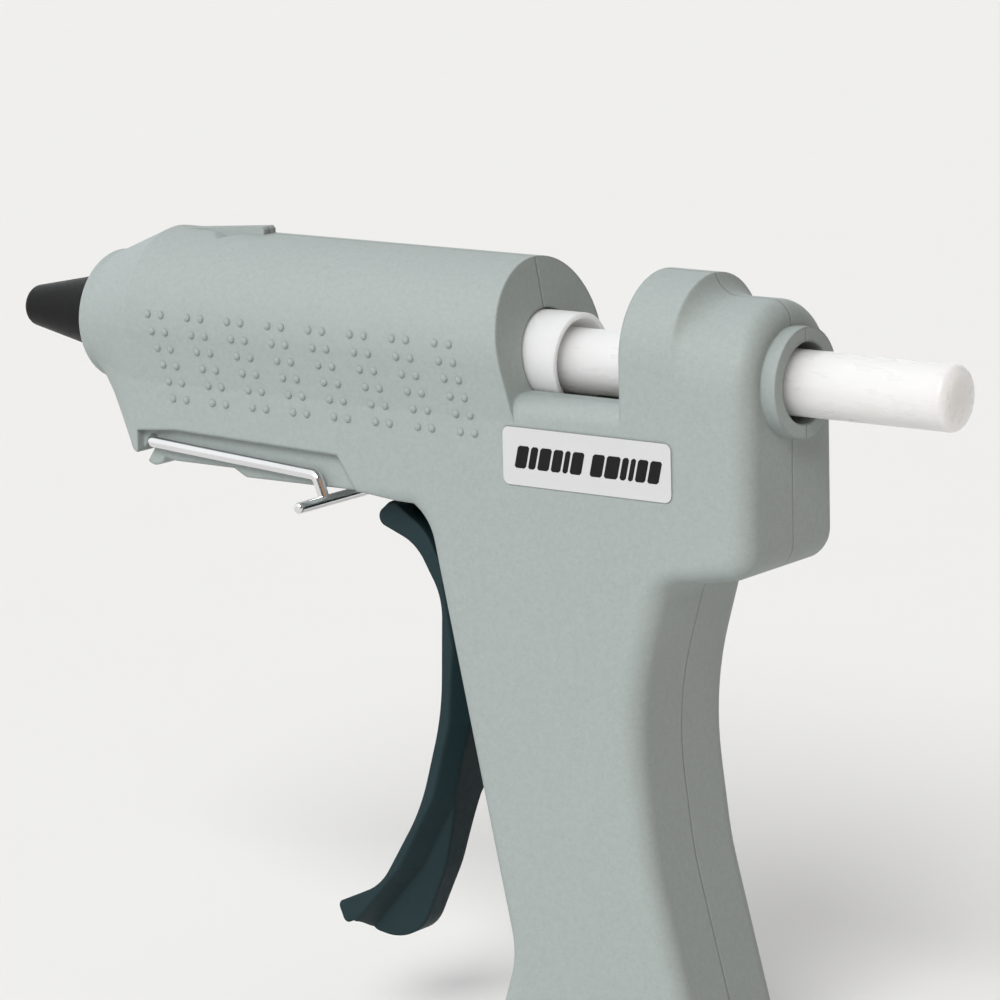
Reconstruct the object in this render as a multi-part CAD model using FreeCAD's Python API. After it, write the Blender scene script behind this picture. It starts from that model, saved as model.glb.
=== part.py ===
import FreeCAD, Part
import math
import os

# Hot-melt glue gun, millimetres. +X runs back along the glue stick, +Z is up and the trigger hangs
# below. The left side of the gun is -Y. Stations along X are counted from a datum just ahead of the
# nozzle; the finished pieces are moved forward by MOUTH_X, so that the mouth is the origin.

V = FreeCAD.Vector
AXIS_X = V(1, 0, 0)
AXIS_Y = V(0, 1, 0)
AXIS_Z = V(0, 0, 1)

# ---- fits and clearances ----
GAP_MOVE = 0.3           # between pieces that move past each other
GAP_PIN = 0.05           # radial running clearance of a pin
GAP_SEAT = 0.05          # between pieces that only sit in each other
WALL = 2.2               # moulded housing wall

# ---- glue stick and the path it takes ----
STICK_R = 5.6
STICK_FRONT = 89.0
STICK_BACK = 203.0
STICK_BORE_R = STICK_R + 0.4

# ---- melt chamber and heater ----
CHAMBER_WALL = 3.2
CHAMBER_R = STICK_BORE_R + CHAMBER_WALL
CHAMBER_FRONT = 31.0
CHAMBER_BACK = 80.0
SPIGOT_WALL = 1.4
SPIGOT_R = STICK_BORE_R + SPIGOT_WALL
SPIGOT_BACK = 88.0
BLOCK_HEATER_FRONT = 46.0
BLOCK_HEATER_BACK = 72.0
FUSE_R = 1.5
HEATER_HALF = 8.4
HEATER_COVER = 2.0       # metal between the chamber's round and the heater's pocket
HEATER_TOP = -CHAMBER_R - HEATER_COVER
TILE_LENGTH = 11.5
TILE_WIDTH = 11.0
TILE_THICK = 3.2
PLATE_THICK = 0.4
FILM_THICK = 0.2
POCKET_WALL = 1.6
INSULATOR_WALL = 2.3
INSULATOR_R = CHAMBER_R + INSULATOR_WALL
INSULATOR_WIDTH = 4.0
FRONT_INSULATOR_X = 38.0
REAR_INSULATOR_X = 74.0
SLEEVE_BACK = 91.5
SLEEVE_WALL = 1.6
SLEEVE_R = SPIGOT_R + SLEEVE_WALL

# ---- feed carriage and grip claw ----
CARRIAGE_FRONT = 98.6
CARRIAGE_BACK = 127.8
CARRIAGE_WALL = 2.2
CARRIAGE_R = STICK_BORE_R + CARRIAGE_WALL
FUNNEL_FLARE = 1.2
FUNNEL_R = STICK_BORE_R + FUNNEL_FLARE
FUNNEL_LENGTH = 5.0
TRUNNION_R = 2.2
CLAW_X = 112.0
CLAW_PIN_R = 1.0
CLAW_HALF = 2.0
CLAW_TIP_GAP = 0.6       # between the claw's tip and the stick, trigger released
CLAW_TIP_Z = STICK_R + CLAW_TIP_GAP
CLAW_DROP = 3.1          # from the claw's pin down to its tip
CLAW_Z = CLAW_TIP_Z + CLAW_DROP
EAR_HALF = 5.2
EAR_RISE = 2.1
EAR_TOP = CLAW_Z + EAR_RISE

# ---- trigger ----
PIVOT_X = 101.0
PIVOT_Z = -20.6
PIVOT_PIN_R = 2.0
HUB_R = 4.0
HUB_CORE_R = 3.0
TRIGGER_SWING = 12.5     # degrees from released to fully squeezed
ARM_GAP = 0.5            # between the carriage and each trigger arm
ARM_INNER = CARRIAGE_R + ARM_GAP
ARM_THICK = 1.8
ARM_HALF = 3.9
GRIP_SET_IN = 0.7        # each side of the grip lies this far inside the arms
GRIP_HALF = ARM_INNER - GRIP_SET_IN
WEB_HALF = 1.3
WEB_ROOT = 3.8           # half width of the web where it leaves the strap
STRAP = 2.4              # thickness of the strap under the fingers

# ---- barrel ----
NOSE_FRONT = 23.0
NOSE_ROOM = 0.6          # round the chamber's front end
NOSE_R = CHAMBER_R + NOSE_ROOM + WALL
NOSE_BACK = 25.5
TAPER_BACK = 38.0
BARREL_ROOM = 1.5        # round the insulator rings
BARREL_R = INSULATOR_R + BARREL_ROOM + WALL
BARREL_TOP = 17.3
BARREL_MID = BARREL_TOP - BARREL_R
BARREL_KNEE_Z = 0.5      # the round top ends here and the flanks lean in
BARREL_END_TOP = 118.4   # slanted rear face of the barrel at its top
WINDOW_FLOOR = -4.5
WINDOW_FRONT = 122.5     # slanted rear face of the barrel at the window floor
WINDOW_BACK = 145.3
BODY_ROOM = 0.8          # beside the shoulders of the pivot's bosses
BODY_HALF = ARM_INNER + ARM_THICK + GAP_MOVE + BODY_ROOM + WALL  # also of the rear block and the handle
FLANK_Z = -9.0           # below this the barrel is as wide as the body
KEEL_HALF = 12.2         # half width between the two stand recesses
KEEL_Z = -24.8
KEEL_FRONT_Z = -23.4
KEEL_STEP_X = 61.0

# ---- rear block and its ring ----
BLOCK_BACK = 170.6
BLOCK_TOP = 17.2
BLOCK_LOW_TOP = 13.6
BLOCK_STEP = 155.7
COVE_LENGTH = 4.5
BLOCK_BOTTOM_BACK = -31.6
BLOCK_BOTTOM_FRONT = -34.6
RING_WALL = 2.45
RING_OUT = 2.9
RING_PLAY = 1.35         # between the stick and the bore of the ring
RING_BORE_R = STICK_R + RING_PLAY
RING_R = RING_BORE_R + RING_WALL

# ---- handle ----
HANDLE_BASE = -126.0
EDGE_ROUND = 3.6         # rounding along the sides of the handle and the block
CHANNEL_PLAY = 1.2       # between the grip and each side of its channel
CHANNEL_HALF = GRIP_HALF + CHANNEL_PLAY
CHANNEL_TOP = -20.0
CHANNEL_BOTTOM = -90.0
CHANNEL_DEPTH = 12.0

# ---- top ridge ----
RIDGE_FRONT = 42.0
RIDGE_BACK = 59.6
RIDGE_HALF = 1.6
RIDGE_RISE = 1.25
SCOOP_X = 51.5
SCOOP_HALF = 6.0
SCOOP_DEPTH = 0.9

# ---- nozzle, its cap and the check valve ----
MOUTH_X = 2.0
NOZZLE_MOUTH_R = 1.0
NOZZLE_MOUTH_LENGTH = 7.0
NOZZLE_TIP_R = 1.9
NOZZLE_CONE_BACK = 21.0
NOZZLE_BODY_R = 5.6
NOZZLE_HEX_FRONT = 25.0
NOZZLE_HEX_BACK = 30.5
NOZZLE_HEX_FLATS = 13.0
NOZZLE_THREAD_R = 5.0
NOZZLE_THREAD_BACK = 40.0
VALVE_BORE_R = 2.6
VALVE_SEAT_X = 34.0
VALVE_SEAT_HOLE_R = 1.3
BALL_R = 2.0
BALL_LIFT = 1.0
CAP_FRONT = 2.4
CAP_TIP_R = 3.6
CAP_BACK_R = 7.7
CAP_FLANGE_R = 9.3
CAP_FLANGE = 1.6

# ---- wire stand ----
WIRE_R = 1.0
STAND_X = 40.9
STAND_Z = -20.0
STAND_LEG_Y = 13.6
STAND_FOOT_HALF = 21.5
STAND_FOOT_X = 81.4
STAND_FOOT_Z = -26.9
LUG_R = 2.6

# ---- screws, leads and terminals ----
SCREW_R = 1.4
SCREW_HEAD_R = 2.4
SCREW_HEAD = 1.6
BOSS_R = 3.9
SCREW_SINK = 2.6
SCREW_PLACES = [(34.6, -15.8), (90.5, -18.5), (139.0, -15.5), (163.0, -23.5), (138.5, -52.0),
                (126.5, HANDLE_BASE + 10.0)]
LEAD_R = 0.9
TERMINAL_X = 131.0
TERMINAL_HEIGHT = 12.0
TERMINAL_LIFT = 28.0     # from the handle's base up to the terminal block
TERMINAL_BOTTOM = HANDLE_BASE + TERMINAL_LIFT
TERMINAL_TOP = TERMINAL_BOTTOM + TERMINAL_HEIGHT
POLE_Y = 4.0
CORD_X = 143.0
CORD_BORE_R = 3.6
BUSH_WALL = 2.0
BUSH_R = CORD_BORE_R + BUSH_WALL
BUSH_LENGTH = 9.0
BUSH_TOP = HANDLE_BASE + BUSH_LENGTH
CLAMP_X = CORD_X - 4.5
CLAMP_Z = HANDLE_BASE + 17.0
CLAMP_SCREW_Y = 7.0

# ---- label ----
LABEL_X0 = 121.0
LABEL_X1 = 155.7
LABEL_Z0 = -19.7
LABEL_Z1 = -9.7
LABEL_THICK = 0.45
LABEL_SUNK = 0.2

trunnion_x = PIVOT_X - PIVOT_Z * math.tan(math.radians(TRIGGER_SWING / 2))
pocket_bottom = HEATER_TOP - 2 * FILM_THICK - 2 * PLATE_THICK - TILE_THICK - 2 * GAP_SEAT


def cyl_x(radius, x0, x1, y=0.0, z=0.0):
    return Part.makeCylinder(radius, x1 - x0, V(x0, y, z), AXIS_X)


def cyl_y(radius, y0, y1, x, z):
    return Part.makeCylinder(radius, y1 - y0, V(x, y0, z), AXIS_Y)


def box(x0, x1, y0, y1, z0, z1):
    return Part.makeBox(x1 - x0, y1 - y0, z1 - z0, V(x0, y0, z0))


def outline(path, place):
    """Closed wire. A pair is the end of a straight run, four numbers are an arc's middle and end."""
    edges = []
    last = path[0]
    closing = [] if path[-1][-2:] == path[0] else [path[0]]
    for step in path[1:] + closing:
        end = step[-2:]
        if len(step) == 4:
            edges.append(Part.Arc(place(*last), place(*step[:2]), place(*end)).toShape())
        else:
            edges.append(Part.makeLine(place(*last), place(*end)))
        last = end
    return Part.Wire(edges)


def in_xz(x, z):
    return V(x, 0, z)


def rounded(points):
    """Closed outline in the side view from (x, z, corner radius) points."""
    pts = [V(x, 0, z) for x, z, _ in points]
    count = len(pts)
    cuts = []
    for i, (_, _, radius) in enumerate(points):
        arrive = (pts[i] - pts[i - 1]).normalize()
        leave = (pts[(i + 1) % count] - pts[i]).normalize()
        turn = arrive.getAngle(leave)
        reach = radius * math.tan(turn / 2)
        middle = (leave - arrive).normalize()
        crown = pts[i] + middle * (radius / math.cos(turn / 2) - radius)
        cuts.append((pts[i] - arrive * reach, crown, pts[i] + leave * reach))
    edges = []
    for i, (enter, crown, exit_point) in enumerate(cuts):
        if points[i][2] > 0:
            edges.append(Part.Arc(enter, crown, exit_point).toShape())
        edges.append(Part.makeLine(exit_point, cuts[(i + 1) % count][0]))
    return Part.Wire(edges)


def slab(wire, y0, y1, inset=0.0):
    """An outline in the side view, drawn in by inset and given a thickness across the gun."""
    if isinstance(wire, list):
        wire = outline(wire, in_xz)
    face = Part.Face(wire)
    if inset:
        face = Part.Face(face.makeOffset2D(-inset, 2).Wires[0])
    face.translate(V(0, y0, 0))
    return face.extrude(V(0, y1 - y0, 0))


def turned(profile):
    """A solid of revolution about the stick's axis from (x, radius) points."""
    wire = Part.makePolygon([V(x, 0, r) for x, r in profile] + [V(profile[0][0], 0, profile[0][1])])
    return Part.Face(wire).revolve(V(0, 0, 0), AXIS_X, 360)


def rounded_path(points):
    """Straight runs joined by tangent arcs, each as large as its two runs allow."""
    pts = [V(*p) for p in points]
    edges = []
    start = pts[0]
    for before, corner, after in zip(pts, pts[1:], pts[2:]):
        arrive = (corner - before).normalize()
        leave = (after - corner).normalize()
        turn = arrive.getAngle(leave)
        reach = 0.45 * min((corner - before).Length, (after - corner).Length)
        radius = reach / math.tan(turn / 2)
        enter = corner - arrive * reach
        exit_point = corner + leave * reach
        middle = (leave - arrive).normalize()
        centre = corner + middle * (radius / math.cos(turn / 2))
        edges.append(Part.makeLine(start, enter))
        edges.append(Part.Arc(enter, centre - middle * radius, exit_point).toShape())
        start = exit_point
    edges.append(Part.makeLine(start, pts[-1]))
    return Part.Wire(edges)


def tube(points, radius):
    path = rounded_path(points)
    start = V(*points[0])
    along = V(*points[1]) - start
    ring = Part.Wire(Part.makeCircle(radius, start, along))
    return path.makePipeShell([ring], True, False)


# ---- housing ----

def barrel_section(x, inset):
    """Round top, flanks that lean in, straight sides and a flat underside with rounded corners."""
    r = BARREL_R - inset
    knee = math.sqrt(r * r - (BARREL_KNEE_Z - BARREL_MID) ** 2)
    side = BODY_HALF - inset
    low = KEEL_Z - 2.0 + inset
    bend = EDGE_ROUND
    mid = bend * (1 - math.sqrt(0.5))
    place = lambda y, z: V(x, y, z)
    return outline([(knee, BARREL_KNEE_Z), (0, BARREL_TOP - inset, -knee, BARREL_KNEE_Z), (-side, FLANK_Z),
                    (-side, low + bend), (-side + mid, low + mid, -side + bend, low), (side - bend, low),
                    (side - mid, low + mid, side, low + bend), (side, FLANK_Z)], place)


def nose_section(x, inset):
    """The round nose, cut at the same corners as the barrel's section."""
    r = NOSE_R - inset
    corners = [2, 178, 213, 236, 250, 290, 304, 327, 362]
    edges = []
    for here, there in zip(corners, corners[1:]):
        ends = [V(x, r * math.cos(math.radians(a)), r * math.sin(math.radians(a)))
                for a in (here, (here + there) / 2, there)]
        edges.append(Part.Arc(*ends).toShape())
    return Part.Wire(edges)


def barrel_side():
    """Side view of the barrel: slanted rear face, keel and sloping chin."""
    lean = (WINDOW_FRONT - BARREL_END_TOP) / (BARREL_TOP - WINDOW_FLOOR)
    over = 8.0
    under = -26.0
    return [(NOSE_BACK - 6, -9.0), (34.8, -20.9), (36.4, -22.0), (46.0, KEEL_FRONT_Z),
            (KEEL_STEP_X - 1.4, KEEL_FRONT_Z), (KEEL_STEP_X + 1.4, KEEL_Z), (90.0, KEEL_Z + 0.2),
            (97.0, -25.4), (WINDOW_FRONT + lean * (WINDOW_FLOOR - under), under),
            (BARREL_END_TOP - lean * over, BARREL_TOP + over), (NOSE_BACK - 6, BARREL_TOP + over)]


def barrel(inset):
    straight = Part.Face(barrel_section(TAPER_BACK, inset)).extrude(V(95, 0, 0))
    taper = Part.makeLoft([nose_section(NOSE_BACK, inset), barrel_section(TAPER_BACK, inset)], True, True)
    shape = straight.fuse(taper).common(slab(barrel_side(), -20, 20, inset))
    nose = cyl_x(NOSE_R - inset, NOSE_FRONT + inset, NOSE_BACK)
    if not inset:
        nose = nose.makeFillet(1.3, [nose.Edges[i] for i in range(3) if at_x(nose.Edges[i], NOSE_FRONT)])
    return shape.fuse(nose)


def at_x(edge, x):
    return edge.BoundBox.XLength < 0.01 and abs(edge.BoundBox.XMin - x) < 0.01


def body_side():
    """Side view of the body under the window, the lower rear block and the handle."""
    return rounded([(92.0, WINDOW_FLOOR, 2.0), (BLOCK_BACK, WINDOW_FLOOR, 2.0),
                    (BLOCK_BACK, BLOCK_BOTTOM_BACK, 5.6), (153.0, BLOCK_BOTTOM_FRONT, 4.5),
                    (146.2, -58.0, 60.0),
                    (149.6, -84.0, 60.0), (160.8, HANDLE_BASE, 5.0), (112.2, HANDLE_BASE, 3.6),
                    (119.4, -104.0, 16.0), (102.3, KEEL_Z - 0.1, 9.0), (92.0, KEEL_Z - 0.1, 2.0)])


def body(inset):
    shape = slab(body_side(), -BODY_HALF + inset, BODY_HALF - inset, inset)
    if inset:
        return shape
    return shape.makeFillet(EDGE_ROUND, [e for e in shape.Edges if e.BoundBox.YLength < 0.01])


def block_arch(x, top, inset):
    """Round-topped section of the rear block down to the level where the body takes over."""
    r = BODY_HALF - inset
    low = WINDOW_FLOOR - 6.0
    place = lambda y, z: V(x, y, z)
    return outline([(r, top - BODY_HALF), (0, top - inset, -r, top - BODY_HALF), (-r, low), (r, low)],
                   place)


def rear_block(inset):
    high = Part.Face(block_arch(WINDOW_BACK + inset, BLOCK_TOP, inset))
    high = high.extrude(V(BLOCK_STEP - WINDOW_BACK - inset, 0, 0))
    drop = BLOCK_TOP - BLOCK_LOW_TOP
    cove = []
    for along, fallen in ((0, 0.0), (0.18, 0.42), (0.5, 0.80), (1, 1.0)):
        cove.append(block_arch(BLOCK_STEP + along * COVE_LENGTH, BLOCK_TOP - fallen * drop, inset))
    slope = Part.makeLoft(cove, True, False)
    low = Part.Face(block_arch(BLOCK_STEP + COVE_LENGTH, BLOCK_LOW_TOP, inset))
    low = low.extrude(V(BLOCK_BACK - inset - BLOCK_STEP - COVE_LENGTH, 0, 0))
    if not inset:
        low = low.makeFillet(EDGE_ROUND,
                             [e for e in low.Edges if at_x(e, BLOCK_BACK) and e.BoundBox.ZMax > -5])
    return high.fuse(slope).fuse(low)


def top_ridge():
    """Ramp along the top of the barrel that ends in a small step."""
    foot = BARREL_TOP - 3
    return slab([(RIDGE_FRONT, foot), (RIDGE_BACK, foot), (RIDGE_BACK, BARREL_TOP + RIDGE_RISE - 0.5),
                 (RIDGE_BACK - 0.5, BARREL_TOP + RIDGE_RISE), (RIDGE_FRONT, BARREL_TOP - 0.1)],
                -RIDGE_HALF, RIDGE_HALF)


def scoop(side):
    """Shallow vee across the barrel's top, one on each side of the ridge."""
    floor = BARREL_TOP - SCOOP_DEPTH
    y0, y1 = sorted((side * RIDGE_HALF, side * BARREL_R))
    return slab([(SCOOP_X, floor), (SCOOP_X + SCOOP_HALF, BARREL_TOP + 0.6),
                 (SCOOP_X - SCOOP_HALF, BARREL_TOP + 0.6)],
                y0, y1)


def stand_recess(side):
    """Room on each flank for a leg of the wire stand."""
    y0, y1 = sorted((side * KEEL_HALF, side * (BARREL_R + 2)))
    return slab([(38.4, -18.2), (47.2, -17.4), (84.4, -18.4), (89.2, -25.6), (89.2, -30), (36.0, -30),
                 (38.4, -22.6)],
                y0, y1)


def stand_notch():
    """Snap groove for the stand's axle, open towards the chin."""
    hole = cyl_y(WIRE_R + GAP_PIN, -20, 20, STAND_X, STAND_Z)
    mouth = slab([(STAND_X - 0.75, STAND_Z + 0.6), (STAND_X + 0.75, STAND_Z - 0.6),
                  (STAND_X - 1.9, STAND_Z - 4.6),
                  (STAND_X - 3.4, STAND_Z - 3.4)], -20, 20)
    return hole.fuse(mouth)


def cradle(x, reach):
    """Rib that carries an insulator ring, from the ring out to the wall."""
    rib = box(x - 1.0, x + 1.0, -20, 20, -reach, 20)
    return rib.common(barrel(WALL - 0.2)).cut(cyl_x(INSULATOR_R + GAP_SEAT, x - 2, x + 2))


def stick_wall():
    """Front wall of the rear block is pierced for the stick, and so is the ring behind it."""
    return cyl_x(RING_BORE_R, WINDOW_BACK - 10, BLOCK_BACK + RING_OUT + 5)


def trigger_channel():
    """Open front of the handle, where the trigger sinks in."""
    front = [(96.0, CHANNEL_TOP), (94.0, -30.0), (99.0, -40.0), (113.0, CHANNEL_BOTTOM),
             (130.0, CHANNEL_BOTTOM),
             (127.0, -76.0), (118.0, -38.0), (112.0, CHANNEL_TOP)]
    return slab(front, -CHANNEL_HALF, CHANNEL_HALF)


def arm_room(side):
    """The channel is wider round the pivot, for the foot of each trigger arm."""
    y0, y1 = sorted((side * (CHANNEL_HALF - 1), side * (ARM_INNER + ARM_THICK + GAP_MOVE)))
    return cyl_y(ARM_HALF + GAP_MOVE, y0, y1, PIVOT_X, PIVOT_Z)


def pivot_boss(side):
    y0, y1 = sorted((side * (ARM_INNER + ARM_THICK + GAP_MOVE), side * (BODY_HALF - 1)))
    return cyl_y(PIVOT_PIN_R + 2.2, y0, y1, PIVOT_X, PIVOT_Z)


def carriage_ledge(side):
    """Rail under the feed carriage."""
    y0, y1 = sorted((side * 2.0, side * (BODY_HALF - 1.5)))
    return box(109.5, 117.5, y0, y1, -10.6, -CARRIAGE_R - GAP_MOVE)


def screw_boss(x, z, side):
    y0, y1 = sorted((0.0, side * (BODY_HALF - 1.0)))
    return cyl_y(BOSS_R, y0, y1, x, z)


def outer_housing():
    shape = barrel(0.0).fuse([body(0.0), rear_block(0.0)])
    shape = shape.fuse([top_ridge(), cyl_x(RING_R, BLOCK_BACK - 1, BLOCK_BACK + RING_OUT)])
    shape = shape.fuse(cyl_y(LUG_R, -KEEL_HALF, KEEL_HALF, STAND_X + 0.2, STAND_Z - 2.0))
    return shape.removeSplitter()


def inner_housing():
    shape = barrel(WALL).fuse([body(WALL), rear_block(WALL)])
    floor = box(34.0, 46.5, -20, 20, -30, STAND_Z + 2.6)
    return shape.cut(floor)


def inside_parts(side, hollow):
    """Bosses, ribs and rails of one half, trimmed to the hollow of the shell."""
    parts = [screw_boss(x, z, side) for x, z in SCREW_PLACES]
    parts += [pivot_boss(side), carriage_ledge(side), cradle(FRONT_INSULATOR_X, INSULATOR_R),
              cradle(REAR_INSULATOR_X, -HEATER_TOP - 0.6), clamp_anvil(), bush_seat()]
    body_of = parts[0].fuse(parts[1:])
    return body_of.common(hollow)


def clamp_anvil():
    """Block that the cord is clamped against."""
    block = box(CORD_X + 1.0, CORD_X + 20.0, -9.6, 9.6, CLAMP_Z - 3.0, CLAMP_Z + 3.0)
    return block.cut(Part.makeCylinder(CORD_BORE_R, 12, V(CORD_X, 0, CLAMP_Z - 7), AXIS_Z))


def bush_seat():
    """Collar that grips the cord bush above the base wall."""
    collar = Part.makeCylinder(BUSH_R + 2.0, 6.0, V(CORD_X, 0, HANDLE_BASE + 1.0), AXIS_Z)
    return collar.cut(bush_hole())


def bush_hole():
    return Part.makeCylinder(BUSH_R + GAP_SEAT, 20, V(CORD_X, 0, HANDLE_BASE - 5), AXIS_Z)


def screw_hole(x, z, side):
    """Pilot hole on the left, clearance hole with a sunk seat on the right."""
    if side < 0:
        return cyl_y(SCREW_R, -9.0, 0.5, x, z)
    through = cyl_y(SCREW_R + 0.2, -0.5, BODY_HALF + 5, x, z)
    return through.fuse(cyl_y(SCREW_HEAD_R + 0.3, head_seat(), BODY_HALF + 5, x, z))


def head_seat():
    """Depth of the counterbore floor under the screw's head."""
    return BODY_HALF - SCREW_SINK


def housing_half(side, outer, hollow):
    y0, y1 = sorted((0.0, side * 40.0))
    half_space = box(-10, 250, y0, y1, -200, 60)
    shell = outer.cut(hollow)
    holes = [cyl_x(CAP_BACK_R + 0.35, NOSE_FRONT - 5, NOSE_BACK + 1), stick_wall(), trigger_channel(),
             cyl_x(CARRIAGE_R + GAP_MOVE, 105, WINDOW_BACK - 5), window_slot(), bush_hole(), stand_notch(),
             scoop(-1), scoop(1), stand_recess(-1), stand_recess(1), arm_room(side),
             cyl_y(PIVOT_PIN_R + GAP_SEAT, -12.6, 12.6, PIVOT_X, PIVOT_Z)]
    holes += [screw_hole(x, z, side) for x, z in SCREW_PLACES]
    holes += clamp_screw_holes()
    if side < 0:
        holes.append(label_recess())
    shape = shell.fuse(inside_parts(side, hollow)).cut(holes)
    return shape.common(half_space).removeSplitter()


def window_slot():
    """Slot in the window floor below the stick."""
    return box(WINDOW_FRONT - 3.0, WINDOW_BACK + 1.0, -6.2, 6.2, WINDOW_FLOOR - WALL - 1, WINDOW_FLOOR + 1)


def label_blank(grow, y0, y1):
    plate = box(LABEL_X0 - grow, LABEL_X1 + grow, y0, y1, LABEL_Z0 - grow, LABEL_Z1 + grow)
    upright = [e for e in plate.Edges if e.BoundBox.YLength > 0.01]
    return plate.makeFillet(1.3 + grow, upright)


def label_recess():
    return label_blank(GAP_SEAT, -BODY_HALF - 1, -BODY_HALF + LABEL_SUNK)


def label_plate():
    back = -BODY_HALF + LABEL_SUNK
    return label_blank(0.0, back - LABEL_THICK, back)


def housing_screws():
    screws = []
    for x, z in SCREW_PLACES:
        seat = head_seat()
        shank = cyl_y(SCREW_R - GAP_SEAT, -8.0, seat + 0.1, x, z)
        head = cyl_y(SCREW_HEAD_R, seat, seat + SCREW_HEAD, x, z)
        head = head.makeFillet(0.7, [e for e in head.Edges if at_y(e, seat + SCREW_HEAD)])
        screws.append(head.fuse(shank).cut(cross_recess(x, seat + SCREW_HEAD, z)).removeSplitter())
    return Part.makeCompound(screws)


def at_y(edge, y):
    return edge.BoundBox.YLength < 0.01 and abs(edge.BoundBox.YMin - y) < 0.01


def cross_recess(x, top, z):
    long_way = box(x - 1.5, x + 1.5, top - 1.1, top + 1, z - 0.35, z + 0.35)
    short_way = box(x - 0.35, x + 0.35, top - 1.1, top + 1, z - 1.5, z + 1.5)
    return long_way.fuse(short_way)


# ---- nozzle ----

def nozzle():
    r_thread = NOZZLE_THREAD_R - GAP_SEAT
    core = turned([(MOUTH_X, 0), (MOUTH_X, NOZZLE_TIP_R), (MOUTH_X + 1.0, NOZZLE_TIP_R),
                   (NOZZLE_CONE_BACK, NOZZLE_BODY_R),
                   (NOZZLE_HEX_FRONT, NOZZLE_BODY_R), (NOZZLE_HEX_FRONT, r_thread),
                   (NOZZLE_THREAD_BACK, r_thread), (NOZZLE_THREAD_BACK, 0)])
    hexagon = hex_bar(NOZZLE_HEX_FLATS, NOZZLE_HEX_FRONT, NOZZLE_HEX_BACK)
    throat_x = MOUTH_X + NOZZLE_MOUTH_LENGTH
    mouth = cyl_x(NOZZLE_MOUTH_R, MOUTH_X - 1, throat_x + 1)
    throat = cyl_x(1.4, throat_x, 20)
    chamber = cyl_x(VALVE_BORE_R, 19, NOZZLE_THREAD_BACK + 1)
    return core.fuse(hexagon).cut([mouth, throat, chamber]).removeSplitter()


def hex_bar(flats, x0, x1):
    radius = flats / math.sqrt(3)
    corners = []
    for k in range(7):
        a = math.radians(60 * k + 30)
        corners.append(V(x0, radius * math.cos(a), radius * math.sin(a)))
    return Part.Face(Part.makePolygon(corners)).extrude(V(x1 - x0, 0, 0))


def valve_seat():
    return turned([(VALVE_SEAT_X, VALVE_SEAT_HOLE_R), (VALVE_SEAT_X, VALVE_BORE_R - GAP_SEAT),
                   (38.5, VALVE_BORE_R - GAP_SEAT), (38.5, VALVE_SEAT_HOLE_R)])


def ball_x():
    return VALVE_SEAT_X - math.sqrt(BALL_R ** 2 - VALVE_SEAT_HOLE_R ** 2) - GAP_PIN


def check_ball():
    return Part.makeSphere(BALL_R, V(ball_x(), 0, 0))


def coil(radius, wire, length, turns, start, axis):
    """Helical spring, swept along its wire's centre line."""
    helix = Part.makeHelix(length / turns, length, radius)
    ring = Part.Wire(Part.makeCircle(wire, V(radius, 0, 0), AXIS_Y))
    body_of = Part.Wire(helix.Edges).makePipeShell([ring], True, True)
    body_of.Placement = FreeCAD.Placement(start, FreeCAD.Rotation(AXIS_Z, axis))
    return body_of


def check_spring():
    front = 20.4
    back = ball_x() - BALL_R - BALL_LIFT - 0.3
    return coil(1.9, 0.3, back - front, 6, V(front, 0, 0), AXIS_X)


def nozzle_cap():
    wall_back = NOSE_FRONT + WALL + GAP_SEAT
    clear = NOZZLE_BODY_R + GAP_SEAT
    hex_room = NOZZLE_HEX_FLATS / math.sqrt(3) + GAP_SEAT
    outer = turned([(CAP_FRONT, 0), (CAP_FRONT, CAP_TIP_R), (NOSE_FRONT, CAP_BACK_R),
                    (wall_back, CAP_BACK_R),
                    (wall_back, CAP_FLANGE_R), (wall_back + CAP_FLANGE, CAP_FLANGE_R),
                    (wall_back + CAP_FLANGE, 0)])
    tip = [e for e in outer.Edges if at_x(e, CAP_FRONT)]
    outer = outer.makeFillet(1.5, tip)
    tip_clear = NOZZLE_TIP_R + GAP_SEAT
    inner = turned([(-1, 0), (-1, tip_clear), (MOUTH_X + 1.0, tip_clear), (NOZZLE_CONE_BACK, clear),
                    (NOZZLE_HEX_FRONT - GAP_SEAT, clear), (NOZZLE_HEX_FRONT - GAP_SEAT, hex_room),
                    (40, hex_room), (40, 0)])
    return outer.cut(inner)


# ---- melt chamber ----

def melt_chamber():
    core = turned([(CHAMBER_FRONT, 0), (CHAMBER_FRONT, CHAMBER_R - 1.2), (CHAMBER_FRONT + 1.2, CHAMBER_R),
                   (CHAMBER_BACK, CHAMBER_R), (CHAMBER_BACK, SPIGOT_R), (SPIGOT_BACK, SPIGOT_R),
                   (SPIGOT_BACK, 0)])
    under = box(BLOCK_HEATER_FRONT, BLOCK_HEATER_BACK, -HEATER_HALF, HEATER_HALF,
                pocket_bottom - POCKET_WALL, -3)
    under = under.makeFillet(1.5,
                             [e for e in under.Edges if e.BoundBox.ZMax < -10 and e.BoundBox.XLength > 5])
    bore = turned([(CHAMBER_FRONT - 1, 0), (CHAMBER_FRONT - 1, NOZZLE_THREAD_R),
                   (NOZZLE_THREAD_BACK + 0.3, NOZZLE_THREAD_R),
                   (NOZZLE_THREAD_BACK + 0.3, VALVE_BORE_R), (43, VALVE_BORE_R), (51, STICK_BORE_R),
                   (SPIGOT_BACK + 1, STICK_BORE_R), (SPIGOT_BACK + 1, 0)])
    pocket = box(BLOCK_HEATER_FRONT - 1, BLOCK_HEATER_BACK + 1, -pocket_half(), pocket_half(),
                 pocket_bottom, HEATER_TOP)
    return core.fuse(under).cut([bore, pocket]).removeSplitter()


def pocket_half():
    return TILE_WIDTH / 2 + FILM_THICK + 0.3


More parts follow.
